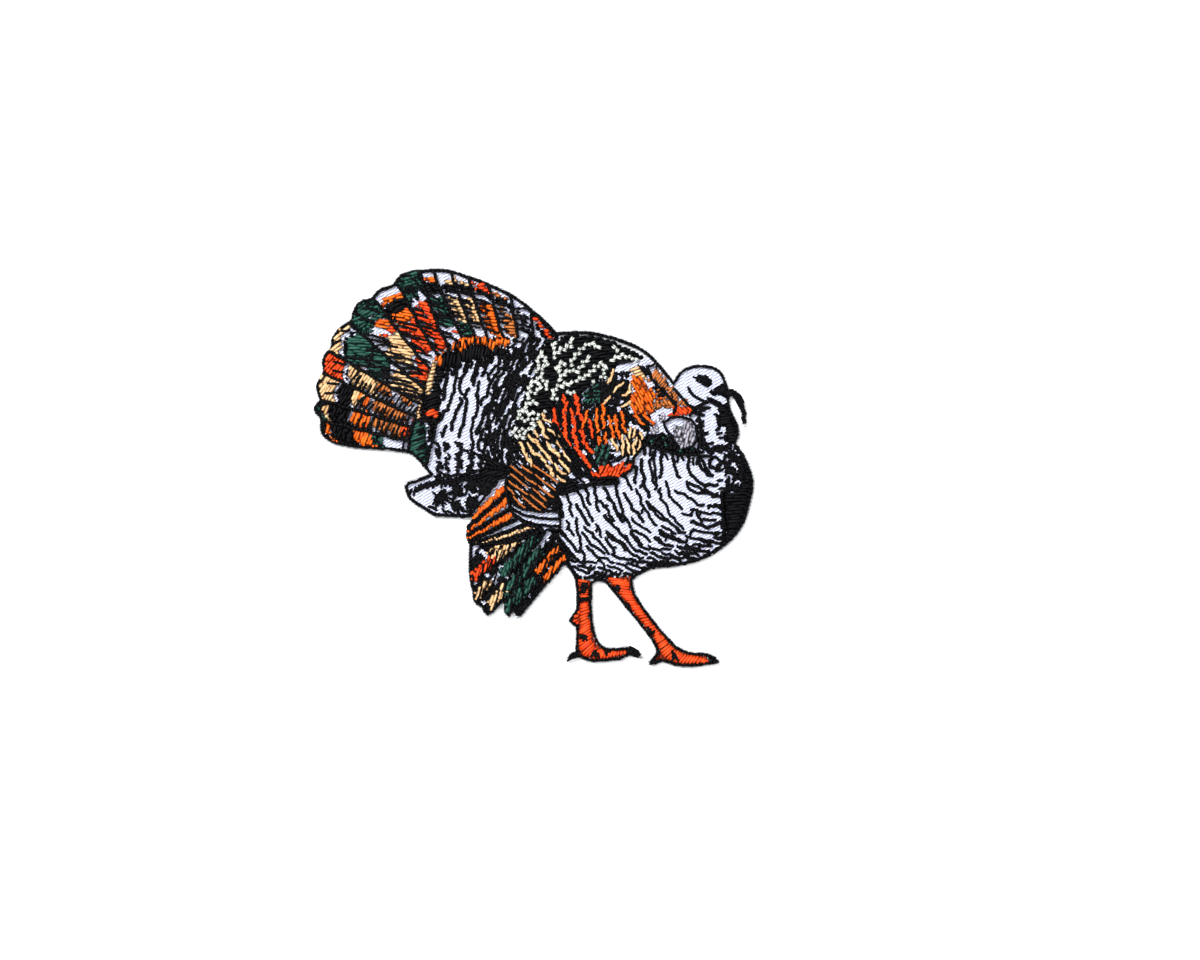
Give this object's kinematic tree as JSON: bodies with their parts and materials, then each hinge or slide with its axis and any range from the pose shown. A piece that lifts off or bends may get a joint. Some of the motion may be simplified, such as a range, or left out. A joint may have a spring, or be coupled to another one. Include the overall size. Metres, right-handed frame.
{
  "type": "embroidered patch",
  "caption": "Flat embroidered patch cut to the outline of a walking turkey with a fanned tail, in satin and line stitching on white twill with a heat-seal backing.",
  "frame": {"origin": "centre of the outline's box, on the underside of the heat-seal film, which rests on the table", "axes": "+Z out of the stitched face, +X from the tail towards the bill, +Y from the feet towards the back of the bird"},
  "size_m": [0.0884, 0.0802, 0.0017],
  "materials": {
    "heat_seal_film": "satin translucent film",
    "twill_white": "matt twill weave",
    "thread_black": "glossy embroidery thread",
    "thread_orange": "glossy embroidery thread",
    "thread_red": "glossy embroidery thread",
    "thread_tan": "glossy embroidery thread",
    "thread_brown": "glossy embroidery thread",
    "thread_green": "glossy embroidery thread",
    "thread_grey": "glossy embroidery thread",
    "thread_silver": "glossy embroidery thread"
  },
  "bodies": {
    "root": {"back": "thread_black", "belly": "twill_white", "bill": "thread_black", "breast": "twill_white", "chest_front": "thread_black", "covert_tips": "thread_red", "eye": "thread_black", "far_foot": "thread_red", "far_shank": "thread_red", "far_toe_claw": "thread_black", "flank_bars": "thread_black", "greater_coverts": "thread_tan", "head": "twill_white", "heat_seal_film": "heat_seal_film", "lesser_coverts": "thread_red", "median_coverts": "thread_orange", "near_foot": "thread_red", "near_shank": "thread_red", "near_toe_claw": "thread_black", "neck": "twill_white", "primaries": "thread_orange", "rump": "twill_white", "scapular_patch": "thread_tan", "secondaries": "thread_brown", "shoulder": "twill_white", "shoulder_band": "thread_green", "shoulder_edge": "thread_brown", "shoulder_patch": "thread_orange", "snood": "thread_black", "tail_coverts": "thread_orange", "tail_feather_01": "thread_orange", "tail_feather_02": "thread_brown", "tail_feather_03": "thread_tan", "tail_feather_04": "thread_tan", "tail_feather_05": "thread_green", "tail_feather_06": "thread_green", "tail_feather_07": "thread_orange", "tail_feather_08": "thread_red", "tail_feather_09": "thread_green", "tail_feather_10": "thread_tan", "tail_feather_11": "thread_tan", "tail_feather_12": "thread_orange", "tail_feather_13": "thread_brown", "tail_feather_14": "thread_black", "tail_feather_15": "thread_black", "tail_root": "thread_tan", "tail_stripe": "thread_green", "tertials": "thread_tan", "throat": "thread_black", "twill_ground": "twill_white", "undertail": "twill_white", "wing_bar": "thread_black", "wing_fold": "thread_grey", "wing_stripes": "thread_black", "wing_tip_01": "thread_red", "wing_tip_02": "thread_tan", "wing_tip_03": "thread_tan", "wing_tip_04": "thread_green", "wing_tip_05": "thread_orange"}
  },
  "joints": []
}
